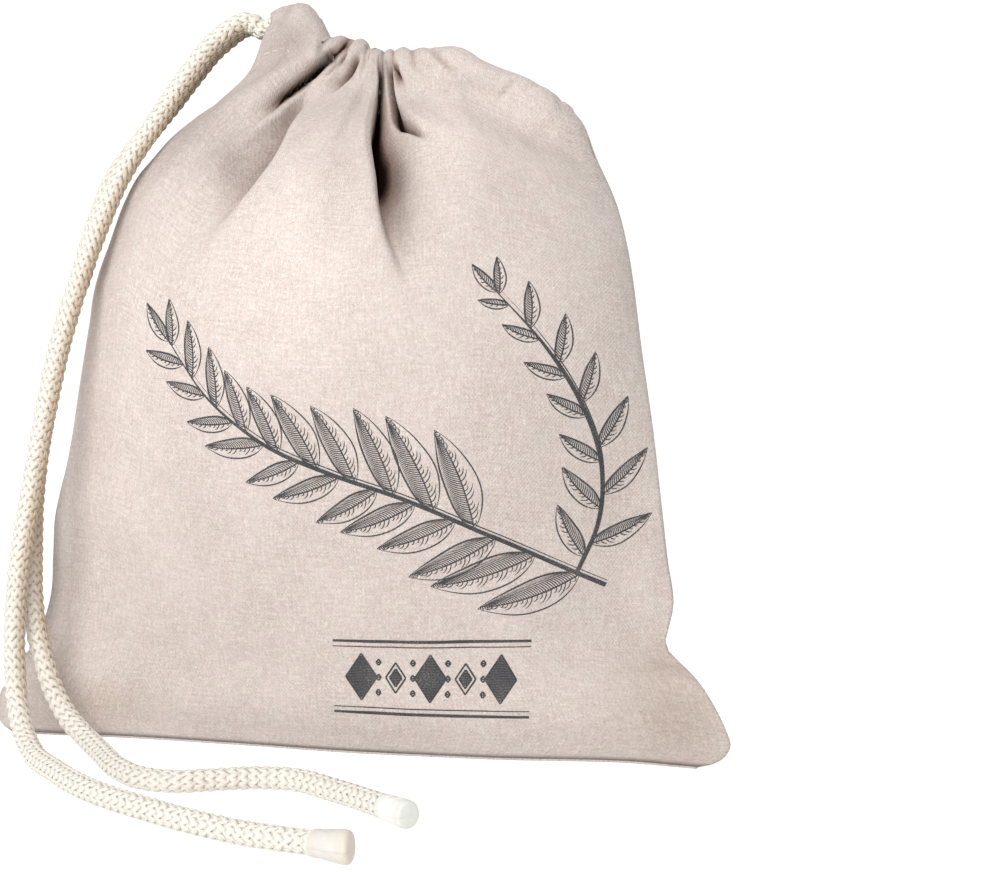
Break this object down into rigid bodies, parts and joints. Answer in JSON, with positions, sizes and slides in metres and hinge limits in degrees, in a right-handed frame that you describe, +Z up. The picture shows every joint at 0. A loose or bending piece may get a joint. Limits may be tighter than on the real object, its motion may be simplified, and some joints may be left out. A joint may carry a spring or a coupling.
{
  "type": "linen drawstring bread bag",
  "caption": "Flat linen drawstring bag for bread, standing filled out and half drawn closed, with a round cotton cord hanging from its casing.",
  "frame": {"origin": "on the surface it stands on, under the middle of the bag", "axes": "+X across the bag to its right as seen from the front, +Y from its front to its back, +Z up"},
  "size_m": [0.2727, 0.2346, 0.2733],
  "materials": {
    "linen": "natural undyed plain-weave linen, matt",
    "cord": "natural braided cotton, matt",
    "dipped_tip": "cord end stiffened with a dip, slightly waxy"
  },
  "bodies": {
    "root": {"front_panel": "linen", "back_panel": "linen", "drawcord": "cord", "cord_tail_a": "cord", "cord_tail_b": "cord", "cord_tip_a": "dipped_tip", "cord_tip_b": "dipped_tip"}
  },
  "joints": []
}
